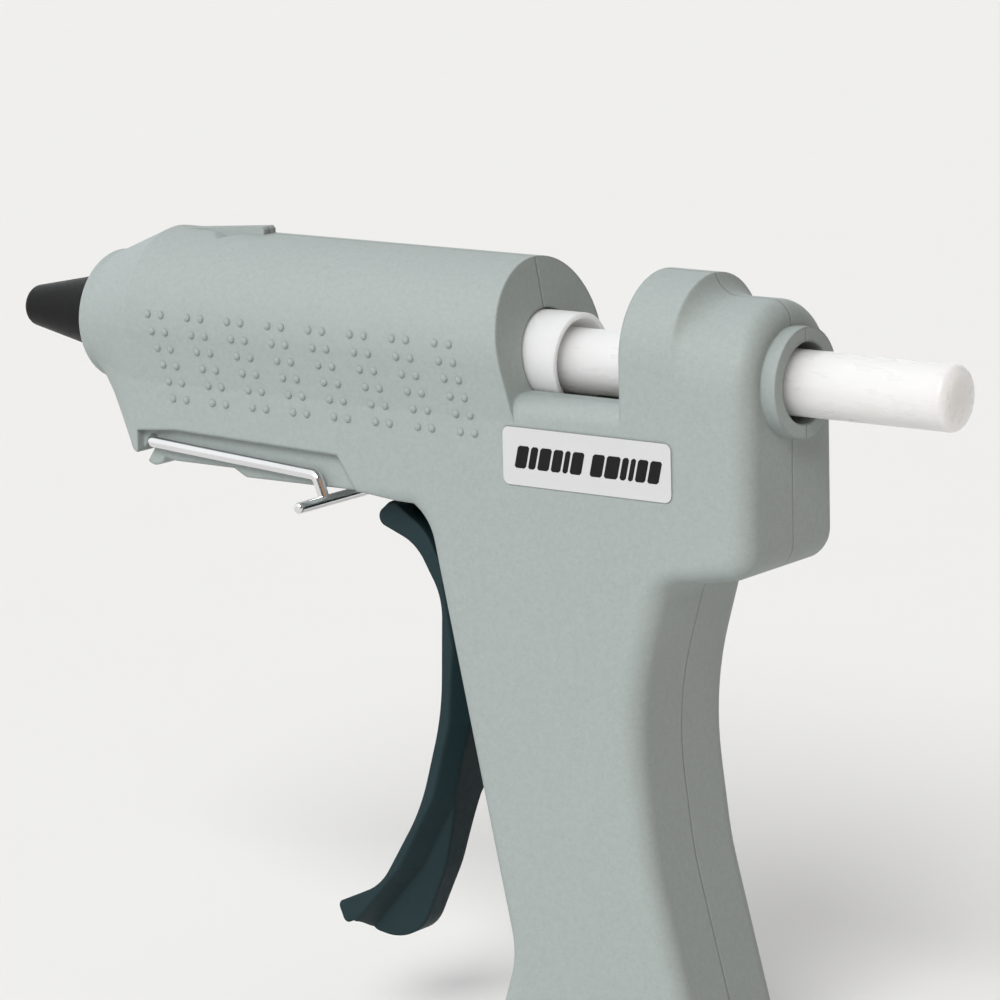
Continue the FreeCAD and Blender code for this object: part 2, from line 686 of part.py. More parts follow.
def heater_film():
    x0, x1 = BLOCK_HEATER_FRONT + 0.4, BLOCK_HEATER_BACK + 1.0
    half = pocket_half() - GAP_SEAT
    z0, z1 = pocket_bottom + GAP_SEAT, HEATER_TOP - GAP_SEAT
    wrap = box(x0, x1, -half, half, z0, z1)
    return wrap.cut(box(x0 - 1, x1 + 1, -half + FILM_THICK, half - FILM_THICK, z0 + FILM_THICK,
                        z1 - FILM_THICK))


def tile_top():
    return HEATER_TOP - GAP_SEAT - FILM_THICK - PLATE_THICK


def heater_tiles():
    tiles = []
    for x0 in (BLOCK_HEATER_FRONT + 1.2, BLOCK_HEATER_FRONT + 1.2 + TILE_LENGTH + 0.8):
        tiles.append(box(x0, x0 + TILE_LENGTH, -TILE_WIDTH / 2, TILE_WIDTH / 2, tile_top() - TILE_THICK,
                         tile_top()))
    return Part.makeCompound(tiles)


def electrode(z0, tab_y):
    plate = box(BLOCK_HEATER_FRONT + 1.0, BLOCK_HEATER_BACK + 0.6, -TILE_WIDTH / 2, TILE_WIDTH / 2, z0,
                z0 + PLATE_THICK)
    tab = box(BLOCK_HEATER_BACK, BLOCK_HEATER_BACK + 5.0, tab_y - 1.2, tab_y + 1.2, z0, z0 + PLATE_THICK)
    return plate.fuse(tab)


def insulator(x):
    ring = cyl_x(INSULATOR_R, x - INSULATOR_WIDTH / 2, x + INSULATOR_WIDTH / 2)
    ring = ring.cut(cyl_x(CHAMBER_R + GAP_SEAT, x - 10, x + 10))
    if x > BLOCK_HEATER_FRONT:
        ring = ring.cut(box(x - 10, x + 10, -HEATER_HALF - 0.3, HEATER_HALF + 0.3, -20, -CHAMBER_R + 1.6))
    return ring


def inlet_sleeve():
    return turned([(CHAMBER_BACK + 0.3, SPIGOT_R), (CHAMBER_BACK + 0.3, SLEEVE_R), (SPIGOT_BACK, SLEEVE_R),
                   (SLEEVE_BACK, SLEEVE_R - 1.4), (SLEEVE_BACK, STICK_R + GAP_MOVE),
                   (SPIGOT_BACK + 0.1, STICK_R + GAP_MOVE),
                   (SPIGOT_BACK + 0.1, SPIGOT_R)])


def sleeve_clamp():
    band = cyl_x(SLEEVE_R + 0.6, 82.5, 86.5).cut(cyl_x(SLEEVE_R, 82, 87))
    ear = box(82.5, 86.5, -0.4, 0.4, SLEEVE_R + 0.2, SLEEVE_R + 4.0)
    return band.fuse(ear)


def thermal_fuse():
    """Lies along the side of the heater block."""
    return cyl_x(FUSE_R, 52.0, 61.0, -HEATER_HALF - FUSE_R - GAP_SEAT, -6.5)


# ---- feed carriage ----

def feed_carriage():
    tube_part = cyl_x(CARRIAGE_R, CARRIAGE_FRONT, CARRIAGE_BACK)
    ears = box(CLAW_X - 8.0, CLAW_X + 4.0, -EAR_HALF, EAR_HALF, STICK_BORE_R - 1.0, EAR_TOP)
    ears = ears.makeFillet(1.5,
                           [e for e in ears.Edges if e.BoundBox.YLength > 5 and e.BoundBox.ZMin > CLAW_Z])
    pins = cyl_y(TRUNNION_R, -ARM_INNER - ARM_THICK - 0.2, ARM_INNER + ARM_THICK + 0.2, trunnion_x, 0)
    bore = turned([(CARRIAGE_FRONT - 1, 0), (CARRIAGE_FRONT - 1, STICK_BORE_R + 1),
                   (CARRIAGE_FRONT + 1, STICK_BORE_R),
                   (CARRIAGE_BACK - FUNNEL_LENGTH, STICK_BORE_R), (CARRIAGE_BACK, FUNNEL_R),
                   (CARRIAGE_BACK + 1, FUNNEL_R),
                   (CARRIAGE_BACK + 1, 0)])
    slot_half = CLAW_HALF + GAP_MOVE
    slot = box(CLAW_X - 6.2, CLAW_X + 3.0, -slot_half, slot_half, 3.0, EAR_TOP + 1)
    spring_room = box(CLAW_X - 2.6, CLAW_X + 2.6, slot_half - 0.1, slot_half + 1.9, CLAW_Z - 2.4,
                      EAR_TOP + 1)
    pin_hole = cyl_y(CLAW_PIN_R, -20, 20, CLAW_X, CLAW_Z)
    return tube_part.fuse([ears, pins]).cut([bore, slot, spring_room, pin_hole]).removeSplitter()


def grip_claw():
    hub = cyl_y(2.0, -CLAW_HALF, CLAW_HALF, CLAW_X, CLAW_Z)
    tooth = slab([(CLAW_X, CLAW_Z + 2.0), (CLAW_X - 4.9, CLAW_Z - 1.7), (CLAW_X - 4.1, CLAW_TIP_Z),
                  (CLAW_X + 0.4, CLAW_Z - 1.9)], -CLAW_HALF, CLAW_HALF)
    return hub.fuse(tooth).cut(cyl_y(CLAW_PIN_R + GAP_PIN, -20, 20, CLAW_X, CLAW_Z)).removeSplitter()


def claw_pin():
    return cyl_y(CLAW_PIN_R, -EAR_HALF, EAR_HALF, CLAW_X, CLAW_Z)


def claw_spring():
    """Three close-wound turns round the claw's pin, in the pocket beside the claw."""
    wire = 0.3
    pitch = 0.5
    start = CLAW_HALF + GAP_MOVE + wire + GAP_SEAT
    turns = []
    for turn in range(3):
        turns.append(Part.makeTorus(1.6, wire, V(CLAW_X, start + turn * pitch, CLAW_Z), AXIS_Y))
    return turns[0].fuse(turns[1:])


# ---- trigger ----

def trigger_side():
    """Side view of the moulding under the fingers: hook, strap, heel and lip."""
    return rounded([(91.8, -26.6, 1.8), (87.4, -30.4, 1.7), (97.0, -34.0, 9.0), (102.4, -43.0, 12.0),
                    (101.6, -64.0, 50.0), (96.4, -82.0, 40.0), (86.8, -97.6, 12.0), (76.8, -102.2, 1.1),
                    (78.4, -106.0, 1.1), (81.0, -104.9, 0.8), (81.6, -107.6, 1.6), (90.2, -109.8, 8.0),
                    (97.4, -94.0, 30.0), (102.6, -75.0, 40.0), (110.8, -47.0, 8.0), (106.2, -30.6, 5.0)])


def trigger_wedge():
    """Wide strap in front that narrows to a thin web behind, level by level."""
    levels = [(-26.0, 88.0, 116.0), (-40.0, 100.0, 113.0), (-52.0, 101.9, 112.0), (-66.0, 100.6, 109.0),
              (-80.0, 96.6, 105.0), (-94.0, 88.6, 101.0), (-104.0, 79.6, 98.0), (-112.0, 72.0, 96.0)]
    rings = []
    for z, front, back in levels:
        place = lambda x, y, z=z: V(x, y, z)
        shoulder = front + STRAP
        rings.append(outline([(front - 9, -GRIP_HALF), (shoulder, -GRIP_HALF),
                              (shoulder + 2.6, -WEB_ROOT), (back, -WEB_HALF),
                              (back, WEB_HALF), (shoulder + 2.6, WEB_ROOT), (shoulder, GRIP_HALF),
                              (front - 9, GRIP_HALF)],
                             place))
    return Part.makeLoft(rings, True, True)


def hook_strap():
    """The curled top of the strap at full width."""
    return slab(rounded([(91.8, -26.6, 1.8), (87.4, -30.4, 1.7), (97.0, -34.0, 9.0), (101.4, -41.4, 2.0),
                         (103.6, -40.0, 0.4), (99.4, -31.6, 10.0)]), -GRIP_HALF, GRIP_HALF)


def trigger_arm(side):
    y0, y1 = sorted((side * ARM_INNER, side * (ARM_INNER + ARM_THICK)))
    reach = -PIVOT_Z
    upright = box(-ARM_HALF, ARM_HALF, y0, y1, 0, reach + 3.4)
    upright = upright.makeFillet(1.6,
                                 [e for e in upright.Edges if e.BoundBox.YLength > 1 and e.BoundBox.ZMin > 5])
    slot_half = TRUNNION_R + 0.1
    slot = box(-slot_half, slot_half, y0 - 1, y1 + 1, reach, reach + 8)
    end = cyl_y(slot_half, y0 - 1, y1 + 1, 0, reach)
    arm = upright.fuse(cyl_y(ARM_HALF, y0, y1, 0, 0)).cut([slot, end])
    arm.rotate(V(0, 0, 0), AXIS_Y, TRIGGER_SWING / 2)
    arm.translate(V(PIVOT_X, 0, PIVOT_Z))
    return arm


def trigger():
    grip = slab(trigger_side(), -GRIP_HALF, GRIP_HALF).common(trigger_wedge())
    half = ARM_INNER + ARM_THICK
    hub = cyl_y(HUB_CORE_R, -half, half, PIVOT_X, PIVOT_Z)
    middle = cyl_y(HUB_R, -2.2, 2.2, PIVOT_X, PIVOT_Z)
    web = slab([(PIVOT_X - HUB_R, PIVOT_Z), (PIVOT_X + HUB_R, PIVOT_Z), (108.6, -36.0), (110.0, -44.0),
                (100.5, -44.0),
                (98.4, -35.5)], -2.2, 2.2)
    joined = grip.fuse([hook_strap(), hub, middle, web, trigger_arm(-1), trigger_arm(1)])
    return joined.cut(cyl_y(PIVOT_PIN_R + GAP_PIN, -20, 20, PIVOT_X, PIVOT_Z)).removeSplitter()


def trigger_pivot_pin():
    return cyl_y(PIVOT_PIN_R, -12.5, 12.5, PIVOT_X, PIVOT_Z)


def trigger_spring():
    """Torsion spring round the trigger's hub, one leg on a screw boss and one on the trigger."""
    wire = 0.4
    mean = HUB_CORE_R + 0.8
    start = 3.0
    length = 4.4
    turns = coil(mean, wire, length, 4, V(PIVOT_X, start, PIVOT_Z), AXIS_Y)
    upper = Part.makeCylinder(wire, 6.5, V(PIVOT_X - mean, start + 0.1, PIVOT_Z), V(-0.56, 0, 0.83))
    lower = Part.makeCylinder(wire, 10.0, V(PIVOT_X + mean, start + length, PIVOT_Z), V(0.10, 0, -1))
    return Part.makeCompound([turns, upper, lower])


# ---- wire stand ----

def stand_wire():
    leg_side = STAND_LEG_Y
    leg = [(STAND_X, 0, STAND_Z), (STAND_X, leg_side, STAND_Z), (STAND_FOOT_X - 1.8, leg_side, -22.4),
           (STAND_FOOT_X, leg_side, STAND_FOOT_Z)]
    right = bent_wire(leg)
    left = right.mirror(V(0, 0, 0), AXIS_Y)
    foot = cyl_y(WIRE_R, -STAND_FOOT_HALF, STAND_FOOT_HALF, STAND_FOOT_X, STAND_FOOT_Z)
    foot = foot.makeFillet(0.6, [e for e in foot.Edges if e.BoundBox.YLength < 0.01])
    return right.fuse([left, foot]).removeSplitter()


def bent_wire(points):
    """Wire with bends of one and a half diameters."""
    pts = [V(*p) for p in points]
    bend = 1.6
    edges = []
    start = pts[0]
    for before, corner, after in zip(pts, pts[1:], pts[2:]):
        arrive = (corner - before).normalize()
        leave = (after - corner).normalize()
        turn = arrive.getAngle(leave)
        reach = bend * math.tan(turn / 2)
        middle = (leave - arrive).normalize()
        centre = corner + middle * (bend / math.cos(turn / 2))
        edges.append(Part.makeLine(start, corner - arrive * reach))
        arc = Part.Arc(corner - arrive * reach, centre - middle * bend, corner + leave * reach)
        edges.append(arc.toShape())
        start = corner + leave * reach
    edges.append(Part.makeLine(start, pts[-1]))
    ring = Part.Wire(Part.makeCircle(WIRE_R, pts[0], pts[1] - pts[0]))
    return Part.Wire(edges).makePipeShell([ring], True, False)


# ---- leads, terminals and cord entry ----

def lead(y, z0, pole_y):
    """Insulated lead from a heater tab, over the trigger's pivot and down the back of the handle."""
    x0 = BLOCK_HEATER_BACK + 5.0 - 1.5
    return tube([(x0, y, z0), (x0 + 4.0, y, z0 + 0.05), (86.0, y * 1.1, -12.4),
                 (98.0, -4.6 + y * 0.35, -12.6), (113.0, -4.6 + y * 0.35, -14.4),
                 (124.5, pole_y * 0.6, -29.0), (128.5, pole_y * 0.9, -50.0),
                 (TERMINAL_X, pole_y, TERMINAL_TOP + 16.0),
                 (TERMINAL_X, pole_y, TERMINAL_TOP + 1.5)], LEAD_R)


def terminal_block():
    block = box(TERMINAL_X - 5.0, TERMINAL_X + 6.0, -8.4, 8.4, TERMINAL_BOTTOM, TERMINAL_TOP)
    block = block.makeFillet(0.8, [e for e in block.Edges if e.BoundBox.XLength > 5])
    cuts = [box(TERMINAL_X - 6, TERMINAL_X + 7, -0.6, 0.6, TERMINAL_BOTTOM + 3, TERMINAL_TOP + 1)]
    for y in (-POLE_Y, POLE_Y):
        cuts.append(Part.makeCylinder(LEAD_R + 0.5, 30, V(TERMINAL_X, y, TERMINAL_BOTTOM - 5), AXIS_Z))
        for z in (TERMINAL_BOTTOM + 3.0, TERMINAL_TOP - 3.0):
            cuts.append(cyl_x(1.5, TERMINAL_X, TERMINAL_X + 8, y, z))
    return block.cut(cuts)


def terminal_screws():
    screws = []
    for y in (-POLE_Y, POLE_Y):
        for z in (TERMINAL_BOTTOM + 3.0, TERMINAL_TOP - 3.0):
            head = TERMINAL_X + 5.0
            shank = cyl_x(1.45, TERMINAL_X + 1.0, head, y, z)
            screws.append(shank.cut(box(head - 0.7, head + 1, y - 2, y + 2, z - 0.3, z + 0.3)))
    return Part.makeCompound(screws)


def clamp_screw_holes():
    return [cyl_x(1.2, CLAMP_X, CORD_X + 12, y, CLAMP_Z) for y in (-CLAMP_SCREW_Y, CLAMP_SCREW_Y)]


def cord_clamp_bar():
    bar = box(CLAMP_X - 1.5, CORD_X + 0.9, -9.4, 9.4, CLAMP_Z - 2.6, CLAMP_Z + 2.6)
    bar = bar.cut(Part.makeCylinder(CORD_BORE_R, 12, V(CORD_X, 0, CLAMP_Z - 6), AXIS_Z))
    sides = (-CLAMP_SCREW_Y, CLAMP_SCREW_Y)
    return bar.cut([cyl_x(1.5, CLAMP_X - 5, CORD_X + 5, y, CLAMP_Z) for y in sides])


def cord_clamp_screws():
    screws = []
    for y in (-CLAMP_SCREW_Y, CLAMP_SCREW_Y):
        head = CLAMP_X - 1.5
        shank = cyl_x(1.2 - GAP_SEAT, head - 0.1, CORD_X + 9, y, CLAMP_Z)
        screw = shank.fuse(cyl_x(2.3, head - 1.6, head, y, CLAMP_Z))
        slot = box(head - 3, head - 0.9, y - 3, y + 3, CLAMP_Z - 0.35, CLAMP_Z + 0.35)
        screws.append(screw.cut(slot).removeSplitter())
    return Part.makeCompound(screws)


def cord_bush():
    """Flush rubber bush in the handle's base, where the mains cord goes in."""
    bush = Part.makeCylinder(BUSH_R, BUSH_TOP - HANDLE_BASE, V(CORD_X, 0, HANDLE_BASE), AXIS_Z)
    lip = Part.makeCylinder(BUSH_R + 1.6, 1.6, V(CORD_X, 0, BUSH_TOP - 1.6), AXIS_Z)
    bore = Part.makeCylinder(CORD_BORE_R, 30, V(CORD_X, 0, HANDLE_BASE - 5), AXIS_Z)
    return bush.fuse(lip).cut(bore).removeSplitter()


def glue_stick():
    stick = cyl_x(STICK_R, STICK_FRONT, STICK_BACK)
    return stick.makeFillet(1.2, [e for e in stick.Edges if at_x(e, STICK_BACK)])


def build():
    outer = outer_housing()
    hollow = inner_housing()
    upper_plate = tile_top()
    lower_plate = tile_top() - TILE_THICK - PLATE_THICK
    on_tab = PLATE_THICK + LEAD_R
    return {
        "housing_left": housing_half(-1, outer, hollow),
        "housing_right": housing_half(1, outer, hollow),
        "housing_screws": housing_screws(),
        "label_plate": label_plate(),
        "nozzle": nozzle(),
        "nozzle_cap": nozzle_cap(),
        "valve_seat": valve_seat(),
        "check_ball": check_ball(),
        "check_spring": check_spring(),
        "melt_chamber": melt_chamber(),
        "heater_film": heater_film(),
        "heater_tiles": heater_tiles(),
        "electrode_upper": electrode(upper_plate, -3.2),
        "electrode_lower": electrode(lower_plate, 3.2),
        "thermal_fuse": thermal_fuse(),
        "front_insulator": insulator(FRONT_INSULATOR_X),
        "rear_insulator": insulator(REAR_INSULATOR_X),
        "inlet_sleeve": inlet_sleeve(),
        "sleeve_clamp": sleeve_clamp(),
        "feed_carriage": feed_carriage(),
        "grip_claw": grip_claw(),
        "claw_pin": claw_pin(),
        "claw_spring": claw_spring(),
        "trigger": trigger(),
        "trigger_pivot_pin": trigger_pivot_pin(),
        "trigger_spring": trigger_spring(),
        "stand_wire": stand_wire(),
        "live_lead": lead(-3.2, upper_plate + on_tab, -POLE_Y),
        "neutral_lead": lead(3.2, lower_plate + on_tab, POLE_Y),
        "terminal_block": terminal_block(),
        "terminal_screws": terminal_screws(),
        "cord_clamp_bar": cord_clamp_bar(),
        "cord_clamp_screws": cord_clamp_screws(),
        "cord_bush": cord_bush(),
        "glue_stick": glue_stick(),
    }


os.makedirs("parts", exist_ok=True)
for node, shape in build().items():
    shape.translate(V(-MOUTH_X, 0, 0))
    shape.exportStep("parts/" + node + ".step")
    print(node, "solids", len(shape.Solids), "valid", shape.isValid(), "volume", round(shape.Volume, 1))
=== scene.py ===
import math

import bpy
from mathutils import Matrix, Vector


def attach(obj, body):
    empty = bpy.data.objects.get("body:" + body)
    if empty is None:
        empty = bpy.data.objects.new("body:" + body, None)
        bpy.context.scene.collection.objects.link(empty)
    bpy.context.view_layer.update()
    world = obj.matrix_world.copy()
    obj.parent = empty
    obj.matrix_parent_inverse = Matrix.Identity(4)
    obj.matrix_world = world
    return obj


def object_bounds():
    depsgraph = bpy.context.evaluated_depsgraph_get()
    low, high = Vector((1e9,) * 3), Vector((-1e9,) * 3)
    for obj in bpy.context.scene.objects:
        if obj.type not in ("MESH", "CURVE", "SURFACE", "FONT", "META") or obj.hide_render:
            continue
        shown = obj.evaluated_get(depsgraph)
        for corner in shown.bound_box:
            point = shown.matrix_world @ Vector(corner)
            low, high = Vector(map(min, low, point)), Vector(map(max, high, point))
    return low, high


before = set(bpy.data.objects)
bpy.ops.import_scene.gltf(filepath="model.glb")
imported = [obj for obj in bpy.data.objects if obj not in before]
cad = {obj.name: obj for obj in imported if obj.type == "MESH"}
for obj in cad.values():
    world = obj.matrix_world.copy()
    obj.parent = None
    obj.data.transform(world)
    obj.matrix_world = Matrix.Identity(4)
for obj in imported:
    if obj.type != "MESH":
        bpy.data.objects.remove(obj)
cad_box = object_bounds()
MM = 0.001

# ---- melt chamber ----
# Die-cast aluminium tube with the heater's pocket cast below it. The nozzle screws into its front, the
# silicone sleeve sits on its rear spigot, and two rings hold it in the housing. The casting is left
# with a fine grain and a little scale.

class Finish:
    """One surface finish. Every pattern in it is laid out in millimetres on the object."""

    def __init__(self, name, colour, rough, metallic=0.0):
        self.material = bpy.data.materials.new(name)
        self.material.use_nodes = True
        self.nodes = self.material.node_tree.nodes
        self.shader = self.nodes["Principled BSDF"]
        self.shader.inputs["Metallic"].default_value = metallic
        self.colour = colour
        self.rough = rough
        self.shader.inputs["Base Color"].default_value = (*colour, 1.0)
        self.shader.inputs["Roughness"].default_value = rough
        self.material.diffuse_color = (*colour, 1.0)
        place = self.nodes.new("ShaderNodeTexCoord")
        self.millimetres = self.scaled(place.outputs["Object"], (1 / MM, 1 / MM, 1 / MM))
        self.normal = None

    def link(self, source, target):
        self.material.node_tree.links.new(source, target)

    def scaled(self, vector, scale):
        mapping = self.nodes.new("ShaderNodeMapping")
        mapping.inputs["Scale"].default_value = scale
        self.link(vector, mapping.inputs["Vector"])
        return mapping.outputs["Vector"]

    def clouds(self, size, detail=3.0, stretch=(1, 1, 1)):
        """Soft random pattern whose blotches are about size millimetres across."""
        noise = self.nodes.new("ShaderNodeTexNoise")
        noise.inputs["Scale"].default_value = 1.0 / size
        noise.inputs["Detail"].default_value = detail
        self.link(self.scaled(self.millimetres, stretch), noise.inputs["Vector"])
        return noise.outputs["Fac"]

    def cells(self, size):
        """Close-packed rounded grains about size millimetres across."""
        grains = self.nodes.new("ShaderNodeTexVoronoi")
        grains.inputs["Scale"].default_value = 1.0 / size
        self.link(self.millimetres, grains.inputs["Vector"])
        return grains.outputs["Distance"]

    def seam(self, half_width):
        """High within half_width millimetres of the middle plane, where two halves meet."""
        axes = self.nodes.new("ShaderNodeSeparateXYZ")
        self.link(self.millimetres, axes.inputs[0])
        off_middle = self.nodes.new("ShaderNodeMath")
        off_middle.operation = "ABSOLUTE"
        self.link(axes.outputs["Y"], off_middle.inputs[0])
        line = self.nodes.new("ShaderNodeMapRange")
        line.inputs["From Min"].default_value = half_width * 1.6
        line.inputs["From Max"].default_value = half_width * 0.6
        self.link(off_middle.outputs["Value"], line.inputs["Value"])
        return line.outputs["Result"]

    def spread(self, pattern, low, high, narrow=0.3):
        """The pattern's middle range stretched over low to high."""
        remap = self.nodes.new("ShaderNodeMapRange")
        remap.inputs["From Min"].default_value = 0.5 - narrow
        remap.inputs["From Max"].default_value = 0.5 + narrow
        remap.inputs["To Min"].default_value = low
        remap.inputs["To Max"].default_value = high
        self.link(pattern, remap.inputs["Value"])
        return remap.outputs["Result"]

    def tint(self, pattern, other, amount=1.0, narrow=0.3):
        """Shifts the colour towards another one where the pattern is high."""
        mix = self.nodes.new("ShaderNodeMix")
        mix.data_type = "RGBA"
        base = self.shader.inputs["Base Color"]
        before = base.links[0].from_socket if base.links else None
        mix.inputs[6].default_value = (*self.colour, 1.0)
        if before:
            self.link(before, mix.inputs[6])
        mix.inputs[7].default_value = (*other, 1.0)
        self.link(self.spread(pattern, 0.0, amount, narrow), mix.inputs[0])
        self.link(mix.outputs[2], base)

    def dull(self, pattern, low, high, narrow=0.3):
        """Lets the roughness wander between low and high."""
        self.link(self.spread(pattern, low, high, narrow), self.shader.inputs["Roughness"])

    def relief(self, pattern, depth, strength=1.0):
        """Raises the surface by up to depth millimetres where the pattern is high."""
        bump = self.nodes.new("ShaderNodeBump")
        bump.inputs["Distance"].default_value = depth * MM
        bump.inputs["Strength"].default_value = strength
        self.link(pattern, bump.inputs["Height"])
        if self.normal:
            self.link(self.normal, bump.inputs["Normal"])
        self.normal = bump.outputs["Normal"]
        self.link(self.normal, self.shader.inputs["Normal"])

    def soft_edges(self, radius, worn=None, amount=0.5):
        """Rounds every edge by radius millimetres, and shows the worn colour on it."""
        bevel = self.nodes.new("ShaderNodeBevel")
        bevel.samples = 4
        bevel.inputs["Radius"].default_value = radius * MM
        self.normal = bevel.outputs["Normal"]
        self.link(self.normal, self.shader.inputs["Normal"])
        if worn:
            flat = self.nodes.new("ShaderNodeNewGeometry")
            turn = self.nodes.new("ShaderNodeVectorMath")
            turn.operation = "DOT_PRODUCT"
            self.link(bevel.outputs["Normal"], turn.inputs[0])
            self.link(flat.outputs["Normal"], turn.inputs[1])
            remap = self.nodes.new("ShaderNodeMapRange")
            remap.inputs["From Min"].default_value = 0.995
            remap.inputs["From Max"].default_value = 0.90
            self.link(turn.outputs["Value"], remap.inputs["Value"])
            rubbed = self.nodes.new("ShaderNodeMath")
            rubbed.operation = "MULTIPLY"
            self.link(remap.outputs["Result"], rubbed.inputs[0])
            self.link(self.clouds(1.2), rubbed.inputs[1])
            self.tint(rubbed.outputs["Value"], worn, amount, 0.5)


def cover(node, finish):
    """Gives a finish to a node of the design."""
    for place in cad[node].material_slots:
        place.material = finish.material


cast = Finish("die_cast_aluminium", (0.58, 0.59, 0.60), 0.42, 1.0)
cast.soft_edges(0.3, (0.75, 0.75, 0.76))
cast.tint(cast.clouds(5.0), (0.40, 0.38, 0.35), 0.5)
cast.dull(cast.clouds(1.5), 0.34, 0.55)
cast.relief(cast.cells(0.5), 0.03, 0.6)
cover("melt_chamber", cast)

# ---- heater ----
# Two ceramic heating tiles between tin-plated electrode plates, wrapped in amber polyimide film and
# pushed into the chamber's pocket. A small sealed fuse lies against the side of the block.

film = Finish("amber_film", (0.62, 0.35, 0.07), 0.22)
film.tint(film.clouds(3.0), (0.45, 0.22, 0.04), 0.6)
film.relief(film.clouds(1.6, 2.0), 0.06, 0.4)
film.shader.inputs["Coat Weight"].default_value = 0.5
cover("heater_film", film)

ceramic = Finish("fired_ceramic", (0.10, 0.10, 0.105), 0.7)
ceramic.soft_edges(0.15, (0.22, 0.22, 0.22))
ceramic.tint(ceramic.clouds(0.6), (0.17, 0.165, 0.16), 0.7)
ceramic.relief(ceramic.cells(0.25), 0.02, 0.7)
cover("heater_tiles", ceramic)

tinned = Finish("tin_plate", (0.74, 0.74, 0.75), 0.3, 1.0)
tinned.tint(tinned.clouds(0.8, 2.0, (0.2, 1, 1)), (0.58, 0.58, 0.60), 0.7)
tinned.dull(tinned.clouds(0.4, 2.0, (0.1, 1, 1)), 0.22, 0.42)
tinned.relief(tinned.clouds(0.3, 2.0, (0.08, 1, 1)), 0.01, 0.5)
for plate in ("electrode_upper", "electrode_lower", "thermal_fuse"):
    cover(plate, tinned)

# ---- insulating rings ----
# Moulded rings of pale heat-resistant resin that hold the hot chamber clear of the housing, one
# behind the nozzle and one behind the heater, each seated in a rib of both halves.

resin = Finish("heat_resin", (0.66, 0.60, 0.47), 0.6)
resin.soft_edges(0.25, (0.78, 0.73, 0.62))
resin.tint(resin.clouds(2.5), (0.52, 0.45, 0.33), 0.5)
resin.dull(resin.clouds(1.0), 0.5, 0.7)
resin.relief(resin.cells(0.4), 0.02, 0.5)
for ring in ("front_insulator", "rear_insulator"):
    cover(ring, resin)

# ---- nozzle and its check valve ----
# Turned brass nozzle on a hexagon, screwed into the chamber. A steel ball on a light spring shuts
# the way back through a pressed-in seat, so that the glue doesn't drip.

brass = Finish("turned_brass", (0.62, 0.44, 0.17), 0.28, 1.0)
brass.soft_edges(0.2, (0.80, 0.64, 0.34))
brass.tint(brass.clouds(3.0), (0.40, 0.27, 0.10), 0.6)
brass.dull(brass.clouds(0.25, 2.0, (4, 0.3, 0.3)), 0.2, 0.42)
brass.relief(brass.clouds(0.22, 1.0, (3, 0.1, 0.1)), 0.01, 0.5)
cover("nozzle", brass)

ground = Finish("ground_steel", (0.55, 0.56, 0.57), 0.25, 1.0)
ground.tint(ground.clouds(1.5), (0.42, 0.42, 0.43), 0.6)
ground.dull(ground.clouds(0.3, 2.0, (0.2, 1, 1)), 0.18, 0.36)
ground.relief(ground.clouds(0.2, 2.0, (0.2, 1, 1)), 0.006, 0.5)
for steel in ("valve_seat", "check_ball", "claw_pin", "trigger_pivot_pin"):
    cover(steel, ground)

sprung = Finish("spring_wire", (0.60, 0.60, 0.61), 0.2, 1.0)
sprung.tint(sprung.clouds(2.0), (0.42, 0.40, 0.37), 0.5)
sprung.dull(sprung.clouds(0.5), 0.15, 0.32)
sprung.relief(sprung.clouds(0.15, 2.0), 0.006, 0.4)
for spring in ("check_spring", "claw_spring", "trigger_spring", "sleeve_clamp"):
    cover(spring, sprung)

# ---- nozzle cap ----
# Black silicone cap pushed over the nozzle, so that the hot brass can't be touched. It is held by
# its flange behind the nose and has the soft sheen and faint dust of moulded silicone.

silicone = Finish("black_silicone", (0.005, 0.005, 0.0055), 0.42)
silicone.soft_edges(0.25, (0.03, 0.03, 0.03))
silicone.tint(silicone.clouds(1.6), (0.010, 0.010, 0.010), 0.7)
silicone.dull(silicone.clouds(0.9), 0.36, 0.50)
silicone.relief(silicone.clouds(0.25, 2.0), 0.012, 0.5)
silicone.shader.inputs["Specular IOR Level"].default_value = 0.10
cover("nozzle_cap", silicone)

# ---- inlet sleeve ----
# Brick-red silicone sleeve over the chamber's rear spigot, gripped by a spring-steel clamp. It wipes
# the stick as it goes in and keeps the melt from creeping back.

brick = Finish("red_silicone", (0.55, 0.13, 0.06), 0.45)
brick.tint(brick.clouds(1.4), (0.42, 0.08, 0.04), 0.6)
brick.dull(brick.clouds(0.7), 0.36, 0.55)
brick.relief(brick.clouds(0.3, 2.0), 0.015, 0.5)
cover("inlet_sleeve", brick)

# ---- feed carriage and grip claw ----
# Off-white glass-filled nylon tube that slides along the stick, with a funnel at the rear end that
# shows in the window. The trigger's arms push its trunnions, and a hardened claw on a pin bites the
# stick on the way forward.

nylon = Finish("natural_nylon", (0.80, 0.79, 0.785), 0.38)
nylon.soft_edges(0.3)
nylon.tint(nylon.clouds(4.0), (0.80, 0.785, 0.78), 0.6)
nylon.dull(nylon.clouds(1.0), 0.30, 0.46)
nylon.relief(nylon.clouds(0.3, 3.0), 0.012, 0.5)
nylon.shader.inputs["Subsurface Weight"].default_value = 0.8
nylon.shader.inputs["Subsurface Radius"].default_value = (0.008, 0.0075, 0.007)
nylon.shader.inputs["Subsurface Scale"].default_value = 1.0
cover("feed_carriage", nylon)

hardened = Finish("hardened_steel", (0.30, 0.30, 0.32), 0.35, 1.0)
hardened.soft_edges(0.15, (0.62, 0.62, 0.63))
hardened.tint(hardened.clouds(1.0), (0.20, 0.18, 0.17), 0.6)
hardened.dull(hardened.clouds(0.4), 0.28, 0.48)
hardened.relief(hardened.clouds(0.2, 2.0, (1, 0.2, 1)), 0.01, 0.6)
cover("grip_claw", hardened)

